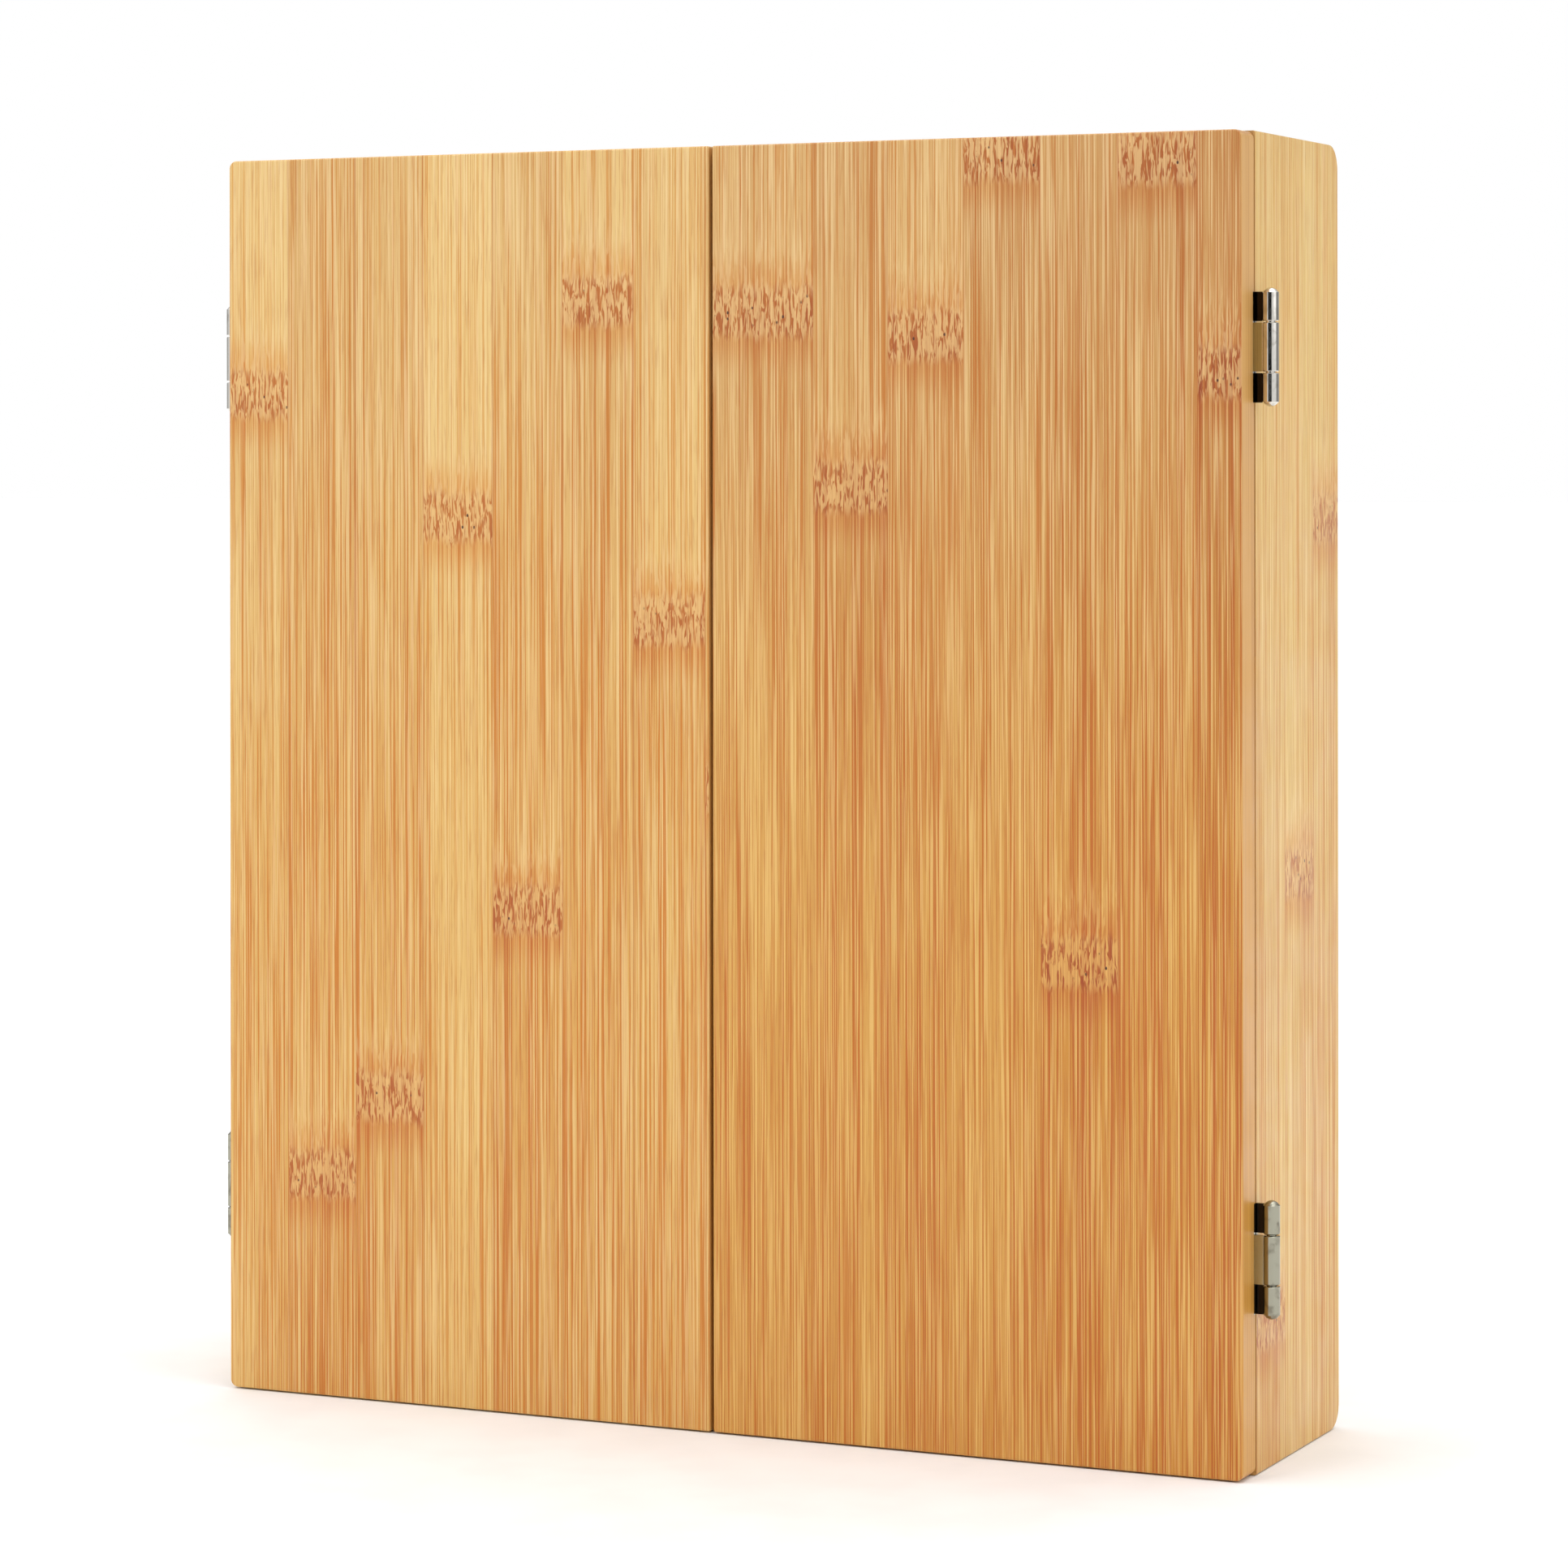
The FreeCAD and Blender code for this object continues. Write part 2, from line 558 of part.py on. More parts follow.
def score_board():
    x0, x1 = FITTING_X - SCORE_W / 2, FITTING_X + SCORE_W / 2
    panel = box(x0, x1, DOOR_BACK_Y, DOOR_BACK_Y + SCORE_T, SCORE_LOW_Z, SCORE_LOW_Z + SCORE_H)
    panel = rounded(panel, SCORE_CORNER_R, lambda c, d: runs(d, Y_AXIS))
    panel = rounded(panel, 0.5, lambda c, d: c.y > DOOR_BACK_Y + SCORE_T - 0.01)
    return panel.cut(score_screw_blanks())


def door_panel():
    """The right-hand door's board."""
    panel = box(DOOR_GAP / 2, HALF_W, FRONT_Y, DOOR_BACK_Y, DOOR_TRIM, HEIGHT - DOOR_TRIM)
    panel = rounded(panel, DOOR_CORNER_R, lambda c, d: runs(d, Y_AXIS) and c.x > HALF_W - 1)
    panel = rounded(panel, EASE, lambda c, d: runs(d, Y_AXIS) and c.x < DOOR_GAP)
    panel = rounded(panel, EASE, lambda c, d: c.y < FRONT_Y + 0.01)
    cuts = [mortise(-1, z) for z in HINGE_ZS.values()] + leaf_screw_blanks(-1)
    return panel.cut(cuts + strikes() + rack_dowels() + score_screw_blanks())


def doors():
    parts = {}
    made = {
        "door_panel": [door_panel()],
        "door_leaf_screws": leaf_screws(-1),
        "door_strikes": strikes(),
        "score_board": [score_board()],
        "score_board_screws": score_screws(),
        "dart_rack": [rack()],
        "rack_dowels": rack_dowels(),
    }
    for side, sign in SIDES.items():
        for name, shapes in made.items():
            parts[f"{side}_{name}"] = [to_side(s, sign) for s in shapes]
    return parts


def export(parts):
    os.makedirs("parts", exist_ok=True)
    for name, solids in sorted(parts.items()):
        shape = solids[0] if len(solids) == 1 else Part.makeCompound(solids)
        shape.exportStep(f"parts/{name}.step")
        whole = shape.isValid() and all(s.isClosed() for s in shape.Solids)
        print(f"{name}: {len(shape.Solids)} solids, {shape.Volume:.1f} mm3{'' if whole else '  NOT VALID'}")
    print(len(parts), "nodes")


def main():
    bracket_screws = crossed(bracket_screw_blanks(), BRACKET_SCREW_HEAD_R, bracket_screw_spots())
    parts = {"board_bracket": [bracket()], "bracket_screws": bracket_screws}
    for group in (carcass(), hinges(), doors(), bristle_board(), darts()):
        parts.update(group)
    export(parts)


main()
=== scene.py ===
import math

import bpy
from mathutils import Matrix, Vector


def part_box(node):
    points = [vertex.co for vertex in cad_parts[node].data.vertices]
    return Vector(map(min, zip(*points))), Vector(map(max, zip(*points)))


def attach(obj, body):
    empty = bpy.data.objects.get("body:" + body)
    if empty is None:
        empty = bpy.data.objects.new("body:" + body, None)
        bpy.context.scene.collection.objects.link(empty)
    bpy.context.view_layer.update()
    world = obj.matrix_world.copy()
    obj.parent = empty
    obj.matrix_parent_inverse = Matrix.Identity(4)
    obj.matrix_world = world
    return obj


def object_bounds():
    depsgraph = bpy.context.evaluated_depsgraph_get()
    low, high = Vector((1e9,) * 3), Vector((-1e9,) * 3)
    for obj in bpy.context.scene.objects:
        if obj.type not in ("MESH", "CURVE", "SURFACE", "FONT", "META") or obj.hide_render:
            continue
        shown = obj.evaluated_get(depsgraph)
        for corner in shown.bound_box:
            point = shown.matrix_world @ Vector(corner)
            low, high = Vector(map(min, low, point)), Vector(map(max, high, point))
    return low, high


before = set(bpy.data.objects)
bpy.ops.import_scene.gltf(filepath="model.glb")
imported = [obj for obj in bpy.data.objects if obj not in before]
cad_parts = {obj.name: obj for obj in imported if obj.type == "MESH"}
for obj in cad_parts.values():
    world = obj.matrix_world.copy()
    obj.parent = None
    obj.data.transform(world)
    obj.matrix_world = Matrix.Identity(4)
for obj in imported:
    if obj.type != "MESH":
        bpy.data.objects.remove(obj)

# ---- the camera and the light, from the middle of the object ----
CAMERA_OFFSET = Vector((0.6334, -1.3636, 0.1022))
CAMERA_YAW, CAMERA_ROLL = 24.77, 0.07
LENS, SHIFT_Y = 108.1, -0.2068
LAMPS = {                    # place, size and watts
    "key_light": (Vector((-1.3, -2.0, 1.5)), 1.6, 7.0),
    "fill_light": (Vector((2.2, -0.4, 0.9)), 1.5, 4.0),
    "top_light": (Vector((0.2, 0.5, 2.2)), 1.6, 6.0),
}
WALL_TOP, CEILING = 0.4, 1.4    # where the ceiling begins, and what it adds straight overhead
# Grey of the walls at angles round the object from the camera, rightwards.
WALLS = ((-180, 0.5), (-110, 0.5), (-90, 0.85), (-44, 0.85), (-38, 0.01), (6, 0.01), (12, 0.85),
         (76, 0.85), (84, 0.2), (130, 0.4), (180, 0.5))

# ---- bamboo ----
# Pale, deep and amber cane, and the warmth multiplied into it low down.
LEFT_CANE = ((232, 197, 128), (210, 163, 96), (218, 160, 76), (255, 252, 234))
RIGHT_CANE = ((219, 178, 114), (190, 133, 69), (206, 143, 48), (255, 243, 194))
BOX_CANE = ((226, 194, 120), (206, 160, 84), (212, 170, 86), (255, 253, 242))
LINE, HAIR, PIT = (184, 102, 30), (245, 216, 160), (84, 46, 22)
LINE_TINT, DASH_TINT = (236, 187, 106), (216, 160, 88)    # multiplied into the cane
EDGE, EDGE_LINE = (209, 161, 95), (184, 128, 62)
JOINT_HALF = 0.009           # half the height of a node in the cane
STRIP, BOX_STRIP = 0.025, 0.027    # widths of the glued strips on the doors and on the box
# Each door: the first strip's left edge, then every strip's tone and the height of its node.
DOORS = {
    "left": (-0.1768, (0.12, 0.5, 0.5, 0.04, 0.6, 0.5, 0.34, 0.4),
             (0.81, 0.18, 0.245, 0.71, 0.40, 0.88, 0.63, 0.5), LEFT_CANE),
    "right": (-0.0149, (0.2, 0.24, 0.3, 0.36, 0.24, 0.54, 0.42, 1.0),
              (0.87, 0.87, 0.735, 0.85, 0.985, 0.378, 0.98, 0.82), RIGHT_CANE),
}

# ---- other woods and metals ----
BIRCH = ((228, 200, 154), (212, 178, 128))
BEECH = ((222, 182, 136), (200, 154, 106))
# The plate's colour, its worn patches, its roughness and how much the scratches add to that.
PLATING = {"upper": ((222, 219, 212), (190, 186, 176), 0.06, 0.03),
           "lower": ((158, 156, 140), (118, 112, 98), 0.15, 0.05)}
# Colour of the painted shade and painted reflection on each piece of a hinge: the dark recess beside the
# box leaf's knuckles, and the door edge reflected in the door leaf.
CORNER_SHADE_AND_REFLECTION = {"box_leaf": (44, 38, 32), "door_leaf": (172, 168, 136), "pin": None}

# ---- score boards ----
RULE_INSET, HEADING_DEPTH = 0.012, 0.036     # the chalk frame and the heading, from the panel's edge
CHALK_FADE, CHALK_HALF = 0.0007, 0.0004      # where a chalk line starts to show, and its full half

# ---- darts ----
POINT_L = 0.028              # steel point below the barrel
STEM_R, FIN_R = 0.0019, 0.0021
FLIGHT_BAND = (0.0102, 0.0104, 0.0114, 0.0116)    # the pale band's faded edges, from the axis
RED_FILM, BLUE_FILM = (176, 36, 40), (32, 74, 150)

# ---- bristle board ----
BLACK_SISAL, CREAM_SISAL = (26, 25, 24), (214, 196, 152)
RED_SISAL, GREEN_SISAL = (168, 34, 30), (24, 104, 60)
BOARD_NUMBERS = (20, 1, 18, 4, 13, 6, 10, 15, 2, 17, 3, 19, 7, 16, 8, 11, 14, 9, 12, 5)
RING_EDGES = (0.0043, 0.0108, 0.0670, 0.0724, 0.1096, 0.1150)    # bull, its ring, treble, double
NUMBER_R = 0.1295            # middle of a numeral from the board's axis
DIGIT_W, DIGIT_H, DIGIT_GAP = 0.0068, 0.0125, 0.0026
NUMBER_WIRE_R = 0.00055

# Bent-wire digits as strokes on a grid 2 wide and 4 high. Those in STRAIGHT have sharp corners, and
# the rest are bent smoothly.
STRAIGHT = (1, 4, 7)
DIGITS = {
    0: [[(1, 0), (0, 1), (0, 3), (1, 4), (2, 3), (2, 1), (1, 0)]],
    1: [[(0.4, 3.2), (1.1, 4), (1.1, 0)]],
    2: [[(0, 3.2), (0.4, 3.9), (1.5, 3.9), (2, 3), (1.5, 2), (0, 0), (2, 0)]],
    3: [[(0, 3.5), (0.7, 4), (1.7, 3.7), (1.8, 2.7), (0.9, 2.1)],
        [(0.9, 2.1), (2, 1.6), (1.9, 0.5), (1, 0), (0, 0.5)]],
    4: [[(1.5, 0), (1.5, 4), (0, 1.2), (2.1, 1.2)]],
    5: [[(1.9, 4), (0.2, 4), (0.1, 2.3), (1.2, 2.6), (2, 1.7), (1.8, 0.5), (0.9, 0), (0, 0.4)]],
    6: [[(1.7, 4), (0.5, 2.7), (0, 1.2), (0.6, 0), (1.6, 0.1), (2, 1.1), (1.4, 2.1), (0.2, 1.8)]],
    7: [[(0, 4), (2, 4), (0.7, 0)]],
    8: [[(1, 2.1), (0.1, 3), (1, 4), (1.9, 3), (1, 2.1), (0, 1), (1, 0), (2, 1), (1, 2.1)]],
    9: [[(0.3, 0), (1.5, 1.3), (2, 2.8), (1.4, 4), (0.4, 3.9), (0, 2.9), (0.6, 1.9), (1.8, 2.2)]],
}


def linear(colour):
    """A colour given as 0 to 255 on a screen, as the light values that the shaders take."""
    values = [c / 255 for c in colour]
    return tuple(c / 12.92 if c <= 0.04045 else ((c + 0.055) / 1.055) ** 2.4 for c in values) + (1.0,)


class Graph:
    """One material's nodes. A value may be a number, a tuple or another node's output."""

    def __init__(self, name):
        self.material = bpy.data.materials.new(name)
        self.material.use_nodes = True
        self.tree = self.material.node_tree
        self.tree.nodes.clear()
        self.coordinates = self.tree.nodes.new("ShaderNodeTexCoord")
        self.place = self.coordinates.outputs["Object"]

    def feed(self, socket, value):
        if isinstance(value, bpy.types.NodeSocket):
            self.tree.links.new(value, socket)
        else:
            socket.default_value = value

    def math(self, operation, a, b=0.0, clamp=False):
        node = self.tree.nodes.new("ShaderNodeMath")
        node.operation, node.use_clamp = operation, clamp
        self.feed(node.inputs[0], a)
        self.feed(node.inputs[1], b)
        return node.outputs[0]

    def add(self, *terms):
        total = terms[0]
        for term in terms[1:]:
            total = self.math("ADD", total, term)
        return total

    def times(self, *factors):
        product = factors[0]
        for factor in factors[1:]:
            product = self.math("MULTIPLY", product, factor)
        return product

    def split(self, vector):
        node = self.tree.nodes.new("ShaderNodeSeparateXYZ")
        self.feed(node.inputs[0], vector)
        return {axis: node.outputs[axis] for axis in "XYZ"}

    def join(self, x, y, z):
        node = self.tree.nodes.new("ShaderNodeCombineXYZ")
        for socket, value in zip(node.inputs, (x, y, z)):
            self.feed(socket, value)
        return node.outputs[0]

    def remap(self, value, low, high, to_low=0.0, to_high=1.0):
        """value taken smoothly from the range low..high to to_low..to_high, and held at the ends."""
        node = self.tree.nodes.new("ShaderNodeMapRange")
        node.interpolation_type = "SMOOTHSTEP"
        for socket, number in zip(node.inputs, (value, low, high, to_low, to_high)):
            self.feed(socket, number)
        return node.outputs[0]

    def mix(self, factor, a, b, blend="MIX"):
        """Colour a where the factor is 0 and colour b where it is 1."""
        node = self.tree.nodes.new("ShaderNodeMix")
        node.data_type, node.blend_type = "RGBA", blend
        self.feed(node.inputs["Factor"], factor)
        for socket, colour in ((node.inputs[6], a), (node.inputs[7], b)):
            self.feed(socket, linear(colour) if isinstance(colour, tuple) else colour)
        return node.outputs[2]

    def steps(self, value, greys):
        """A staircase: value 0..1 picks one of the greys."""
        node = self.tree.nodes.new("ShaderNodeValToRGB")
        ramp = node.color_ramp
        ramp.interpolation = "CONSTANT"
        while len(ramp.elements) < len(greys):
            ramp.elements.new(1.0)
        for k, grey in enumerate(greys):
            ramp.elements[k].position = k / len(greys)
            ramp.elements[k].color = (grey, grey, grey, 1.0)
        self.feed(node.inputs[0], value)
        return node.outputs[0]

    def noise(self, vector, scale=1.0, detail=2.0, distortion=0.0):
        node = self.tree.nodes.new("ShaderNodeTexNoise")
        self.feed(node.inputs["Vector"], vector)
        self.feed(node.inputs["Scale"], scale)
        self.feed(node.inputs["Detail"], detail)
        self.feed(node.inputs["Distortion"], distortion)
        return node.outputs[0]

    def cells(self, vector, scale=1.0):
        """Distance to the nearest cell's middle, and a random grey for each cell."""
        node = self.tree.nodes.new("ShaderNodeTexVoronoi")
        self.feed(node.inputs["Vector"], vector)
        self.feed(node.inputs["Scale"], scale)
        return node.outputs["Distance"], self.split(node.outputs["Color"])["X"]

    def finish(self, colour, roughness, height=None, depth=0.0001, **constants):
        """Connects the shader. constants are its sockets that are the same all over."""
        shader = self.tree.nodes.new("ShaderNodeBsdfPrincipled")
        output = self.tree.nodes.new("ShaderNodeOutputMaterial")
        self.tree.links.new(shader.outputs[0], output.inputs[0])
        self.feed(shader.inputs["Base Color"], linear(colour) if isinstance(colour, tuple) else colour)
        self.feed(shader.inputs["Roughness"], roughness)
        for name, value in constants.items():
            shader.inputs[name.replace("_", " ").title()].default_value = value
        if height is not None:
            bump = self.tree.nodes.new("ShaderNodeBump")
            bump.inputs["Distance"].default_value = depth
            self.feed(bump.inputs["Height"], height)
            self.tree.links.new(bump.outputs[0], shader.inputs["Normal"])
        return self.material


# ---- materials ----
def cane_grain(g, u, v, depth):
    """A function that gives noise drawn out along the cane. Its scales are per metre."""
    def grain(across_scale, along_scale, shift=0.0, distortion=0.0):
        place = g.join(g.times(u, across_scale), g.times(v, along_scale), g.add(depth, shift))
        return g.noise(place, distortion=distortion)
    return grain


def cane_node(g, colour, grain, pit_place, rise, inside):
    """A node in the cane, where rise is from -1 to 1: dark dashes on a pale ground, frayed slivers
    above, a dark halo and a few pits. Gives the colour, and the masks of the dashes and the pits."""
    off = g.math("ABSOLUTE", rise)
    frayed = g.times(g.remap(rise, 0.4, 1.0), g.remap(rise, 3.4, 1.4))
    dashes = g.remap(grain(1150.0, 170.0, 1.9, 0.9), 0.46, 0.58)
    slivers = g.remap(grain(1250.0, 100.0, 6.3, 0.5), 0.48, 0.58)
    distance, chance = g.cells(pit_place)
    pits = g.times(g.remap(distance, 0.22, 0.12), g.remap(chance, 0.74, 0.78), g.remap(off, 0.6, 0.3))

    colour = g.mix(g.remap(off, 2.4, 0.9, 0.0, 0.55), colour, LINE_TINT, "MULTIPLY")
    colour = g.mix(g.times(dashes, inside, 0.9), colour, DASH_TINT, "MULTIPLY")
    colour = g.mix(g.times(slivers, frayed, 0.3), colour, HAIR)
    colour = g.mix(g.times(g.math("SUBTRACT", 1.0, dashes), inside, 0.3), colour, HAIR)
    return g.mix(pits, colour, PIT), dashes, pits


def cane_edges(g, colour, plies_place, across, along, pale, deep):
    """The faces on a panel's sides, which show its plies, and on its ends, which show end grain."""
    normals = g.split(g.coordinates.outputs["Normal"])
    sideways, endways = (g.remap(g.math("ABSOLUTE", normals[axis]), 0.6, 0.9) for axis in (across, along))
    plies = g.remap(g.noise(plies_place), 0.5, 0.64)
    bundles = g.remap(g.noise(g.place, 1500.0), 0.4, 0.62)
    colour = g.mix(sideways, colour, g.mix(g.times(plies, 0.5), EDGE, EDGE_LINE))
    return g.mix(endways, colour, g.mix(bundles, deep, pale))


def bamboo(name, across, along, start, length, tones, joints, pale, deep, amber, warmth, pitch=STRIP):
    """Flat-pressed strips of cane, lacquered. start is the first strip's edge and the strips' lower
    end. tones go from pale, 0, to deep, 1. Towards the lower end they turn to amber, and warmth
    is multiplied in. joints are node heights as shares of the length."""
    g = Graph(name)
    axes = g.split(g.place)
    u, v = axes[across], g.math("SUBTRACT", axes[along], start[1])
    through = axes["XYZ".replace(across, "").replace(along, "")]
    strip = g.math("DIVIDE", g.math("SUBTRACT", u, start[0]), pitch)
    index = g.math("FLOOR", strip)
    share = g.math("DIVIDE", g.math("ADD", index, 0.5), float(len(tones)))
    seed = g.times(index, 7.3)

    grain = cane_grain(g, u, v, g.add(g.times(through, 45.0), seed))
    lines = g.remap(grain(1950.0, 5.0), 0.48, 0.57)
    hairs = g.remap(grain(2100.0, 14.0, 3.1), 0.50, 0.61)
    flecks = g.remap(grain(2100.0, 70.0, 8.2), 0.52, 0.64)
    groups = g.remap(grain(230.0, 3.0, 9.7), 0.36, 0.64)
    broad = g.remap(grain(45.0, 4.0, 4.4), 0.3, 0.7)

    joint = g.times(g.steps(share, joints), length)
    wobble = g.times(g.add(grain(420.0, 0.0, 5.5), -0.5), 0.9)
    rise = g.add(g.math("DIVIDE", g.math("SUBTRACT", v, joint), JOINT_HALF), wobble)
    off = g.math("ABSOLUTE", rise)
    inside = g.remap(off, 1.1, 0.6)
    past_joint = g.times(g.remap(rise, 1.0, -1.0, -0.18, 0.22), g.remap(off, 13.0, 2.0))

    figure = g.add(g.times(g.add(groups, -0.5), 0.22), g.times(g.add(broad, -0.5), 0.3))
    tone = g.add(g.steps(share, tones), figure, past_joint)
    low_down = g.remap(v, length, 0.3 * length)
    colour = g.mix(g.math("ADD", tone, 0.0, clamp=True), pale, deep)
    colour = g.mix(g.times(low_down, g.remap(tone, 0.0, 0.6, 0.35, 0.65)), colour, amber)

    ink = g.times(lines, g.add(g.times(groups, 0.4), g.times(low_down, tone, 1.6), 0.5))
    ink = g.times(g.math("MINIMUM", ink, 1.0), g.remap(inside, 0.0, 1.0, 1.0, 0.5))
    colour = g.mix(ink, colour, LINE_TINT, "MULTIPLY")
    colour = g.mix(g.times(flecks, 0.3), colour, LINE)
    colour = g.mix(g.times(hairs, 0.5), colour, HAIR)
    pit_place = g.join(g.times(u, 480.0), g.times(v, 330.0), seed)
    colour, dashes, pits = cane_node(g, colour, grain, pit_place, rise, inside)

    from_glue = g.math("PINGPONG", strip, 0.5)
    glue = g.times(g.remap(from_glue, 0.016, 0.004), g.remap(tone, 0.1, 0.6, 0.15, 0.6))
    colour = g.mix(glue, colour, LINE)
    plies_place = g.join(g.times(through, 900.0), g.times(v, 6.0), seed)
    colour = cane_edges(g, colour, plies_place, across, along, pale, deep)
    colour = g.mix(low_down, colour, warmth, "MULTIPLY")

    polish = g.remap(g.noise(g.place, 60.0), 0.3, 0.7, 0.32, 0.44)
    sunk = g.add(g.times(lines, 0.5), g.times(inside, dashes, 0.6), g.times(pits, 1.5))
    height = g.math("SUBTRACT", g.times(hairs, 0.3), sunk)
    return g.finish(colour, g.add(polish, g.times(lines, 0.08)), height, 0.00005,
                    coat_weight=0.12, coat_roughness=0.25)


def veneer(name, along, pale, deep):
    """Plain wood: long figure and fine pores along one axis."""
    g = Graph(name)
    stretch = {axis: 4.0 if axis == along else 60.0 for axis in "XYZ"}
    pores = {axis: 30.0 if axis == along else 1400.0 for axis in "XYZ"}
    axes = g.split(g.place)
    figure = g.noise(g.join(*[g.times(axes[a], stretch[a]) for a in "XYZ"]), 1.0, 3.0, 0.8)
    pore = g.remap(g.noise(g.join(*[g.times(axes[a], pores[a]) for a in "XYZ"])), 0.55, 0.7)
    colour = g.mix(g.remap(figure, 0.35, 0.65), pale, deep)
    colour = g.mix(g.times(pore, 0.35), colour, tuple(int(c * 0.6) for c in deep))
    return g.finish(colour, g.remap(figure, 0.3, 0.7, 0.55, 0.7), g.times(pore, -1.0), 0.00005)


def metal(name, colour, worn, roughness, scratch=0.12, painted_light=None, corner=(0.0, 0.0)):
    """Plated or bare metal with fine scratches, smears and dulled patches. painted_light is the colour
    of painted shade and reflection on the faces towards the front in the corner, which is a span of X and
    lies on both sides."""
    g = Graph(name)
    smear = g.noise(g.place, 220.0, 3.0, 0.5)
    axes = g.split(g.place)
    stretch = {"X": 5200.0, "Y": 5200.0, "Z": 260.0}
    lines = g.noise(g.join(*[g.times(axes[a], stretch[a]) for a in "XYZ"]))
    shade = g.mix(g.remap(smear, 0.5, 0.75), colour, worn)
    rough = g.add(g.remap(smear, 0.35, 0.7, roughness * 0.75, roughness * 1.4), g.times(lines, scratch))
    # Painted shade and painted reflection: the front faces in the corner get a flat colour for the
    # recess's shade and the wood's reflection.
    if painted_light:
        x = g.math("ABSOLUTE", axes["X"])
        held = g.times(g.math("GREATER_THAN", x, corner[0]), g.math("LESS_THAN", x, corner[1]))
        facing = g.remap(g.split(g.coordinates.outputs["Normal"])["Y"], -0.6, -0.9)
        shade = g.mix(g.times(held, facing), shade, painted_light)
    return g.finish(shade, rough, lines, 0.00008 * scratch, metallic=1.0)


def coated(name, colour, worn, roughness, grain=900.0, depth=0.00004):
    """Paint, rubber or moulded plastic: fine texture and a little colour variation."""
    g = Graph(name)
    fine = g.noise(g.place, grain)
    broad = g.noise(g.place, 45.0, 3.0)
    shade = g.mix(g.remap(broad, 0.4, 0.7), colour, worn)
    return g.finish(shade, g.remap(broad, 0.3, 0.7, roughness * 0.9, roughness * 1.1), fine, depth)


def ruled_lines(g, low, high, x, z):
    """Where chalk lines run round the panel, down its middle and under a heading."""
    def line(distance):
        return g.remap(distance, CHALK_FADE, CHALK_HALF)

    mid_x, mid_z = (low.x + high.x) / 2, (low.z + high.z) / 2
    from_x = g.math("ABSOLUTE", g.math("SUBTRACT", x, abs(mid_x)))
    from_z = g.math("ABSOLUTE", g.math("SUBTRACT", z, mid_z))
    past_x = g.math("SUBTRACT", from_x, (high.x - low.x) / 2 - RULE_INSET)
    past_z = g.math("SUBTRACT", from_z, (high.z - low.z) / 2 - RULE_INSET)
    past = g.math("MAXIMUM", past_x, past_z)
    within = g.remap(past, 0.0, -0.0003)
    from_heading = g.math("ABSOLUTE", g.math("SUBTRACT", z, high.z - HEADING_DEPTH))
    frame_line = line(g.math("ABSOLUTE", past))
    centre_line, head_line = g.times(line(from_x), within), g.times(line(from_heading), within)
    return g.math("MAXIMUM", g.math("MAXIMUM", frame_line, centre_line), head_line)


def chalkboard(name, low, high):
    """Chalkboard paint with wiped chalk and ruled lines."""
    g = Graph(name)
    axes = g.split(g.place)
    ruled = ruled_lines(g, low, high, g.math("ABSOLUTE", axes["X"]), axes["Z"])
    wiped = g.noise(g.join(g.times(axes["X"], 14.0), axes["Y"], g.times(axes["Z"], 26.0)), 1.0, 5.0, 0.3)
    grit = g.noise(g.place, 1600.0)
    colour = g.mix(g.remap(wiped, 0.4, 0.8, 0.0, 0.16), (30, 34, 34), (150, 152, 148))
    colour = g.mix(g.times(ruled, g.remap(grit, 0.3, 0.55, 0.35, 0.85)), colour, (226, 224, 214))
    return g.finish(colour, g.remap(wiped, 0.3, 0.8, 0.78, 0.9), grit, 0.00006)


def sisal(name, centre):
    """The bristle face: black and cream sectors with red and green rings, in end-on fibre."""
    g = Graph(name)
    axes = g.split(g.place)
    x = g.math("SUBTRACT", axes["X"], centre.x)
    z = g.math("SUBTRACT", axes["Z"], centre.z)
    radius = g.math("SQRT", g.add(g.times(x, x), g.times(z, z)))
    turn = g.add(g.times(g.math("ARCTAN2", x, z), 10 / math.pi), 20.5)
    odd = g.math("MODULO", g.math("FLOOR", turn), 2.0)
    ring = [g.math("GREATER_THAN", radius, edge) for edge in RING_EDGES]

    field = g.mix(odd, BLACK_SISAL, CREAM_SISAL)
    bright = g.mix(odd, RED_SISAL, GREEN_SISAL)
    colour = g.mix(ring[0], RED_SISAL, GREEN_SISAL)
    for edge, fill in zip(ring[1:], (field, bright, field, bright, (24, 23, 22))):
        colour = g.mix(edge, colour, fill)
    fibres, chance = g.cells(g.place, 1500.0)
    tufts = g.noise(g.place, 260.0, 3.0)
    colour = g.mix(g.remap(chance, 0.2, 1.0, 0.0, 0.22), colour, (8, 7, 6))
    colour = g.mix(g.remap(tufts, 0.5, 0.75, 0.0, 0.25), colour, (150, 130, 96))
    # Holes in the bristle: sunk by the bump, and painted near black as a painted shade inside them.
    hole, rare = g.cells(g.place, 240.0)
    holes = g.times(g.remap(hole, 0.2, 0.1), g.remap(rare, 0.84, 0.88))
    colour = g.mix(g.times(holes, 0.7), colour, (6, 5, 4))
    height = g.add(fibres, g.times(holes, -3.0), tufts)
    return g.finish(colour, g.remap(tufts, 0.3, 0.7, 0.82, 0.95), height, 0.00015)


def dart_head(name, shoulder_z):
    """A turned brass grip above the shoulder, and a steel point below it."""
    g = Graph(name)
    axes = g.split(g.place)
    smear = g.noise(g.place, 320.0, 3.0)
    turned = g.noise(g.join(0.0, 0.0, g.times(axes["Z"], 5200.0)))
    steel = g.mix(g.remap(smear, 0.3, 0.8), (176, 178, 182), (150, 152, 156))
    brass = g.mix(g.remap(smear, 0.3, 0.8), (206, 172, 96), (186, 148, 74))
    colour = g.mix(g.math("GREATER_THAN", axes["Z"], shoulder_z), steel, brass)
    return g.finish(colour, g.remap(smear, 0.3, 0.8, 0.24, 0.32), turned, 0.00001, metallic=1.0)


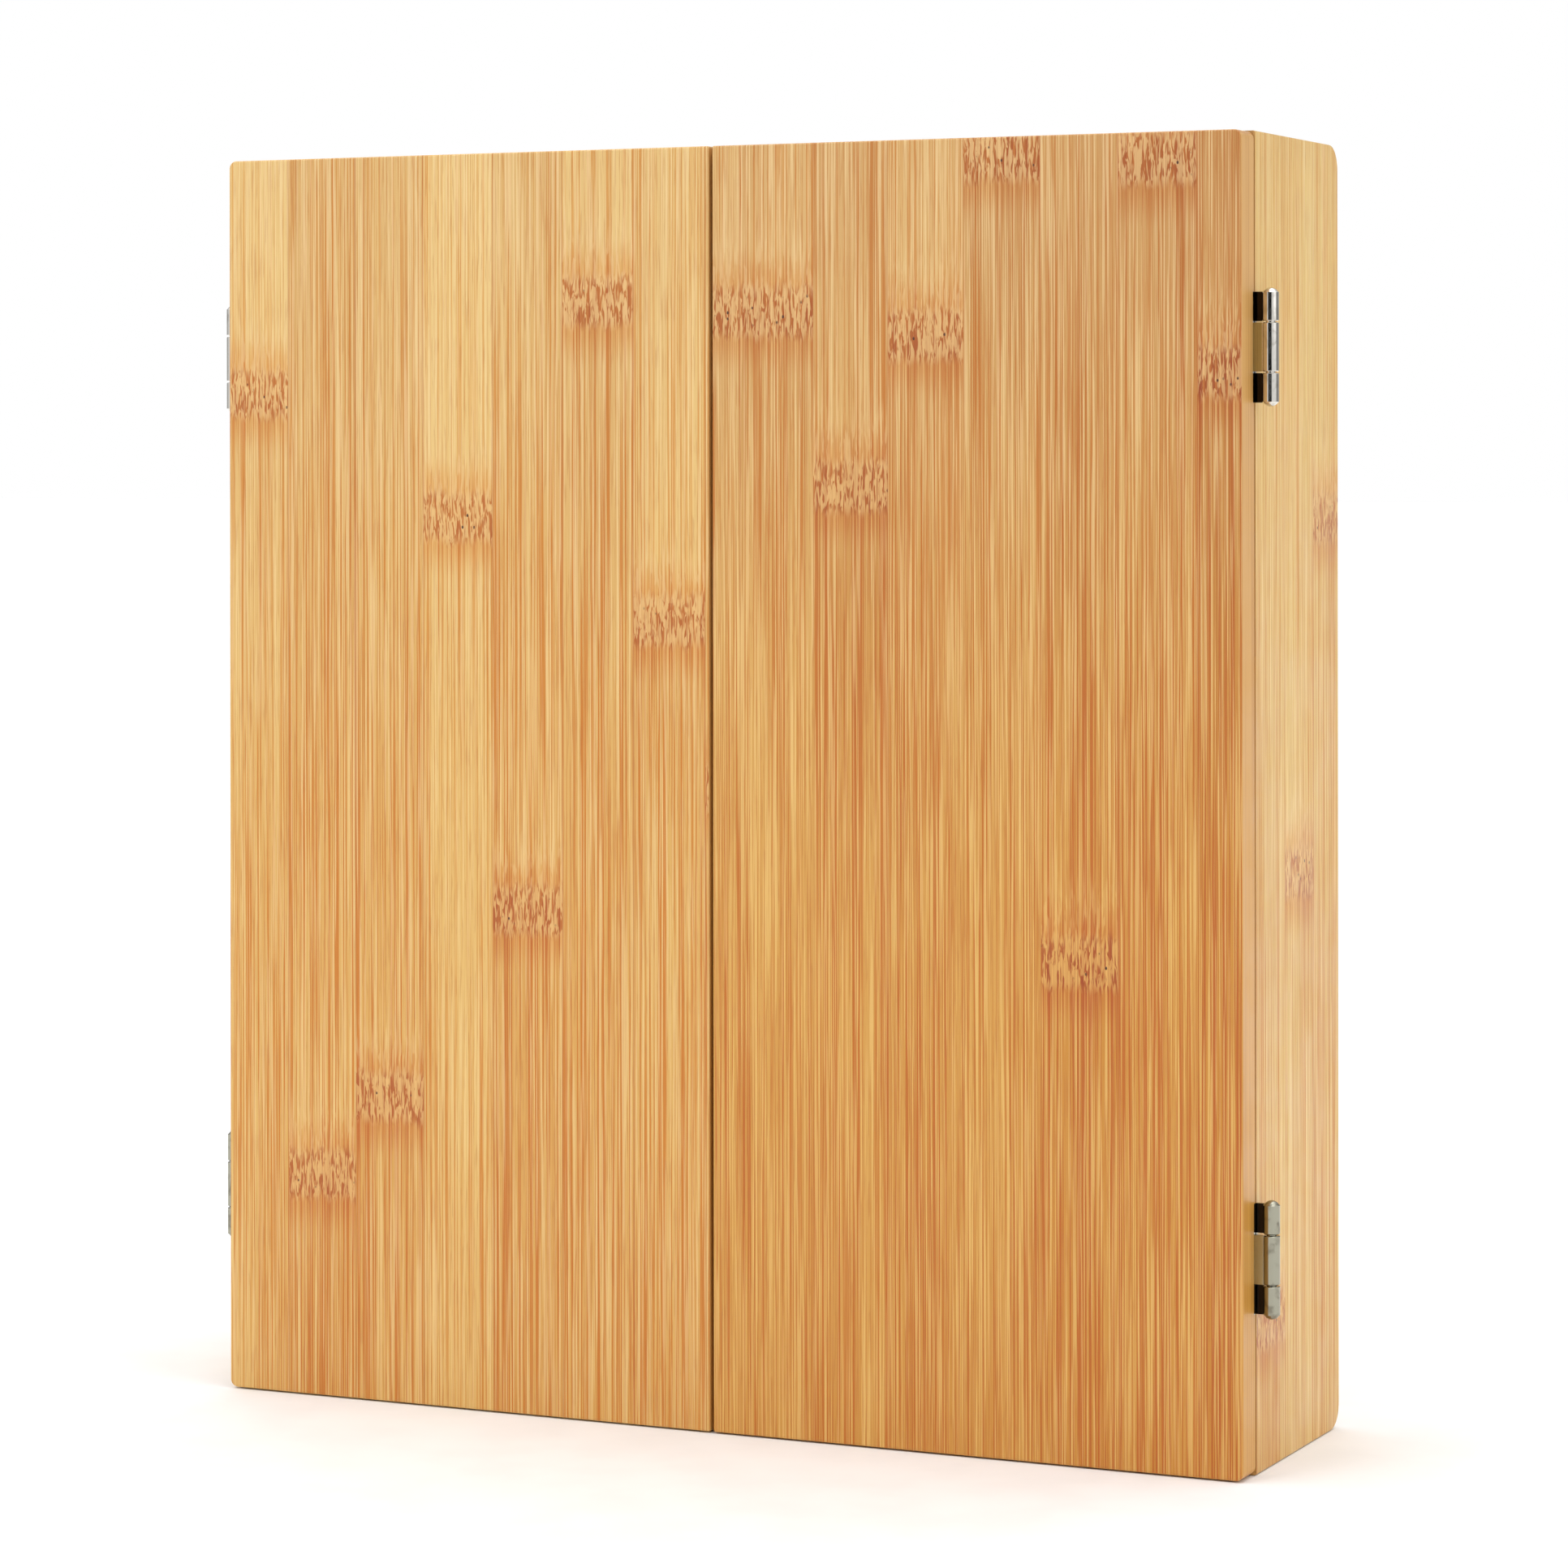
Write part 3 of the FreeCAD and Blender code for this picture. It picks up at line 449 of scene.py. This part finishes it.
def dart_tail(name, middle, dye):
    """A dark moulded stem, and a dyed film flight with a pale band and a fine
    embossed grid."""
    g = Graph(name)
    axes = g.split(g.place)
    x = g.math("SUBTRACT", axes["X"], middle.x)
    y = g.math("SUBTRACT", axes["Y"], middle.y)
    out = g.math("SQRT", g.add(g.times(x, x), g.times(y, y)))
    fin = g.remap(out, STEM_R, FIN_R)
    rows, columns = (g.math("SINE", g.times(way, 5200.0)) for way in (axes["Z"], out))
    mesh = g.math("MAXIMUM", rows, columns)
    cloud = g.noise(g.place, 140.0, 3.0)
    inner, inner_full, outer_full, outer = FLIGHT_BAND
    band = g.times(g.remap(out, inner, inner_full), g.remap(out, outer, outer_full))
    film = g.mix(g.remap(cloud, 0.35, 0.7), dye, tuple(int(c * 0.72) for c in dye))
    film = g.mix(band, film, (232, 230, 222))
    colour = g.mix(fin, g.mix(g.remap(cloud, 0.3, 0.7), (26, 27, 30), (40, 41, 44)), film)
    return g.finish(colour, g.remap(cloud, 0.3, 0.7, 0.28, 0.42), g.times(mesh, fin), 0.00003)


# ---- putting materials on the CAD nodes ----
def dress(material, *nodes):
    for name in nodes:
        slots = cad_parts[name].data.materials
        slots.clear()
        slots.append(material)


def dress_doors():
    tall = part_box("right_side_panel")[1].z
    for hand, (first, tones, joints, cane) in DOORS.items():
        node = f"{hand}_door_panel"
        dress(bamboo(f"bamboo_{node}", "X", "Z", (first, 0.0), tall, tones, joints, *cane), node)


def dress_box():
    low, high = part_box("right_side_panel")
    front, width, tall = low.y, 2 * high.x, high.z
    panels = {               # the way the cane runs, where it starts and how long, tones and nodes
        "left_side_panel": ("Z", 0.0, tall, (0.3, 0.15, 0.4, 0.2), (0.2, 0.62, 0.9, 0.35)),
        "right_side_panel": ("Z", 0.0, tall, (0.35, 0.1, 0.25, 0.4), (0.11, 0.44, 0.71, 0.25)),
        "top_panel": ("X", -width / 2, width, (0.3, 0.5, 0.2, 0.4), (0.3, 0.75, 0.15, 0.5)),
        "bottom_panel": ("X", -width / 2, width, (0.4, 0.2, 0.5, 0.3), (0.6, 0.2, 0.85, 0.4)),
    }
    for node, (run, end, length, tones, joints) in panels.items():
        strips = ("Y", run, (front, end), length, tones, joints)
        dress(bamboo(f"bamboo_{node}", *strips, *BOX_CANE, BOX_STRIP), node)
    dress(veneer("birch_plywood", "Z", *BIRCH), "back_panel")
    dress(veneer("beech", "X", *BEECH), "corner_dowels")


def dress_rails_and_racks():
    for node in ("upper_mounting_rail", "lower_mounting_rail", "left_dart_rack", "right_dart_rack"):
        low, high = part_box(node)
        strips = ("Y", "X", (low.y, low.x), high.x - low.x, (0.3, 0.45), (0.22, 0.7))
        dress(bamboo(f"bamboo_{node}", *strips, *BOX_CANE), node)
    dress(veneer("beech_pegs", "Y", *BEECH), "left_rack_dowels", "right_rack_dowels")


def dress_hinges():
    """Nickel plate, darker and duller on the lower hinges, with painted shade and painted reflection
    between a panel and its knuckles.
    """
    panel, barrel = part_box("right_side_panel")[1].x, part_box("upper_right_hinge_pin")[0].x
    corner = (panel - 0.0001, barrel)
    for level, plate in PLATING.items():
        for piece, painted_light in CORNER_SHADE_AND_REFLECTION.items():
            nickel = metal(f"nickel_{level}_{piece}", *plate, painted_light, corner)
            dress(nickel, *[f"{level}_{side}_hinge_{piece}" for side in ("left", "right")])
    screws = metal("nickel_screws", *PLATING["upper"])
    dress(screws, "box_leaf_screws", "left_door_leaf_screws", "right_door_leaf_screws")


def dress_fittings():
    zinc = metal("zinc_plate", (190, 192, 196), (150, 152, 158), 0.3)
    dress(zinc, "back_panel_screws", "bracket_screws", "board_bracket", "board_hanger_screw")
    dress(zinc, "catch_magnets", "left_door_strikes", "right_door_strikes")
    dress(zinc, "left_score_board_screws", "right_score_board_screws")


def dress_bristle_board(wire):
    low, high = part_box("bristle_disc")
    dress(sisal("sisal_face", (low + high) / 2), "bristle_disc")
    dress(coated("band_paint", (26, 26, 27), (44, 44, 45), 0.42), "board_band")
    dress(coated("fibreboard", (104, 76, 52), (84, 60, 40), 0.85, 700.0, 0.0001), "board_backing")
    dress(coated("rubber", (30, 30, 30), (48, 47, 46), 0.7), "board_bumpers")
    dress(wire, "wire_spider", "number_ring", "number_ring_clips")


def dress_score_boards():
    for side in ("left", "right"):
        node = f"{side}_score_board"
        dress(chalkboard(f"chalkboard_{side}", *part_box(node)), node)


def dress_darts():
    for number in range(1, 7):
        head, tail = f"dart_{number}_barrel_and_point", f"dart_{number}_stem_and_flight"
        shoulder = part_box(head)[0].z + POINT_L
        low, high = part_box(tail)
        dye = RED_FILM if number <= 3 else BLUE_FILM
        dress(dart_head(f"brass_and_steel_{number}", shoulder), head)
        dress(dart_tail(f"film_and_nylon_{number}", (low + high) / 2, dye), tail)


# ---- the numerals on the bristle board ----
def wire_number(number, angle, face_y, centre, material):
    """One number in bent wire, at a clock angle round the board, upright on the lower half too."""
    curve = bpy.data.curves.new(f"number_{number}", "CURVE")
    curve.dimensions = "3D"
    curve.bevel_depth, curve.bevel_resolution = NUMBER_WIRE_R, 3
    curve.resolution_u = 6
    digits = [int(d) for d in str(number)]
    total = len(digits) * DIGIT_W + (len(digits) - 1) * DIGIT_GAP
    for place, digit in enumerate(digits):
        left = place * (DIGIT_W + DIGIT_GAP) - total / 2
        for stroke in DIGITS[digit]:
            spline = curve.splines.new("POLY" if digit in STRAIGHT else "NURBS")
            points = [(left + x * DIGIT_W / 2, 0.0, (y / 4 - 0.5) * DIGIT_H, 1.0) for x, y in stroke]
            spline.points.add(len(points) - 1)
            for point, co in zip(spline.points, points):
                point.co = co
            if digit not in STRAIGHT:
                spline.order_u = 3
                spline.use_endpoint_u = True
    piece = bpy.data.objects.new(f"number_{number}", curve)
    bpy.context.scene.collection.objects.link(piece)
    curve.materials.append(material)
    upside_down = math.cos(angle) < -0.01
    outward = Matrix.Rotation(angle, 4, "Y") @ Matrix.Translation((0, 0, NUMBER_R))
    flip = Matrix.Rotation(math.pi if upside_down else 0.0, 4, "Y")
    middle = Vector((centre.x, face_y - NUMBER_WIRE_R, centre.z))
    piece.matrix_world = Matrix.Translation(middle) @ outward @ flip
    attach(piece, "dartboard")


def wire_numbers(material):
    low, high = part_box("bristle_disc")
    for place, number in enumerate(BOARD_NUMBERS):
        wire_number(number, place * math.tau / 20, low.y, (low + high) / 2, material)


# ---- the studio ----
def floor(low, high):
    bpy.ops.mesh.primitive_plane_add(size=60.0, location=(0, 0, low.z - 0.0002))
    ground = bpy.context.object
    ground.name = "floor"
    g = Graph("pale_floor")
    speckle = g.noise(g.place, 35.0, 4.0)
    shade = g.mix(g.remap(speckle, 0.3, 0.7), (246, 246, 246), (250, 250, 250))
    ground.data.materials.append(g.finish(shade, g.remap(speckle, 0.3, 0.7, 0.75, 0.85)))


def lamps(middle):
    for name, (offset, size, watts) in LAMPS.items():
        light = bpy.data.lights.new(name, "AREA")
        light.size, light.energy = size, watts
        lamp = bpy.data.objects.new(name, light)
        lamp.location = middle + offset
        lamp.rotation_euler = (-offset).to_track_quat("-Z", "Y").to_euler()
        bpy.context.scene.collection.objects.link(lamp)


def wall_light(nodes, links, place):
    """The grey of the walls, round the object."""
    turned = nodes.new("ShaderNodeMapping")
    turned.inputs["Rotation"].default_value = (0.0, 0.0, math.radians(90 - CAMERA_YAW))
    links.new(place.outputs["Generated"], turned.inputs["Vector"])
    round_room = nodes.new("ShaderNodeTexGradient")
    round_room.gradient_type = "RADIAL"
    links.new(turned.outputs[0], round_room.inputs[0])
    walls = nodes.new("ShaderNodeValToRGB")
    while len(walls.color_ramp.elements) < len(WALLS):
        walls.color_ramp.elements.new(1.0)
    for stop, (turn, grey) in zip(walls.color_ramp.elements, WALLS):
        stop.position = turn / 360 + 0.5
        stop.color = (grey, grey, grey, 1.0)
    links.new(round_room.outputs["Fac"], walls.inputs[0])
    return walls.outputs[0]


def ceiling_light(nodes, links, place):
    """What the ceiling adds, from nothing at the height where the walls end."""
    parts = nodes.new("ShaderNodeSeparateXYZ")
    links.new(place.outputs["Generated"], parts.inputs[0])
    ceiling = nodes.new("ShaderNodeMapRange")
    links.new(parts.outputs["Z"], ceiling.inputs[0])
    ceiling.inputs["From Min"].default_value = WALL_TOP
    ceiling.inputs["To Max"].default_value = CEILING
    return ceiling.outputs[0]


def sky():
    """A white room with soft boxes and dark flags on its walls for the metal to show. The camera
    itself sees it as plain white."""
    world = bpy.data.worlds.new("studio")
    world.use_nodes = True
    bpy.context.scene.world = world
    nodes, links = world.node_tree.nodes, world.node_tree.links
    place = nodes.new("ShaderNodeTexCoord")
    total = nodes.new("ShaderNodeMath")
    links.new(wall_light(nodes, links, place), total.inputs[0])
    links.new(ceiling_light(nodes, links, place), total.inputs[1])
    path = nodes.new("ShaderNodeLightPath")
    seen = nodes.new("ShaderNodeMath")
    seen.operation = "MAXIMUM"
    links.new(total.outputs[0], seen.inputs[0])
    links.new(path.outputs["Is Camera Ray"], seen.inputs[1])
    background = nodes["Background"]
    links.new(seen.outputs[0], background.inputs["Strength"])
    background.inputs["Color"].default_value = (1.0, 1.0, 1.0, 1.0)


def camera(middle):
    data = bpy.data.cameras.new("camera")
    data.lens, data.sensor_width, data.shift_y = LENS, 36.0, SHIFT_Y
    eye = bpy.data.objects.new("camera", data)
    eye.location = middle + CAMERA_OFFSET
    eye.rotation_euler = (math.radians(90), math.radians(CAMERA_ROLL), math.radians(CAMERA_YAW))
    bpy.context.scene.collection.objects.link(eye)
    bpy.context.scene.camera = eye


def main():
    cad_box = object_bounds()
    low, high = cad_box
    middle = (Vector(low) + Vector(high)) / 2
    camera(middle)
    lamps(middle)
    sky()
    floor(Vector(low), Vector(high))
    bpy.context.scene.view_settings.view_transform = "Standard"
    dress_doors()
    dress_box()
    dress_rails_and_racks()
    dress_hinges()
    dress_fittings()
    wire = metal("spider_wire", (182, 184, 186), (140, 140, 142), 0.28)
    dress_bristle_board(wire)
    dress_score_boards()
    dress_darts()
    wire_numbers(wire)


main()
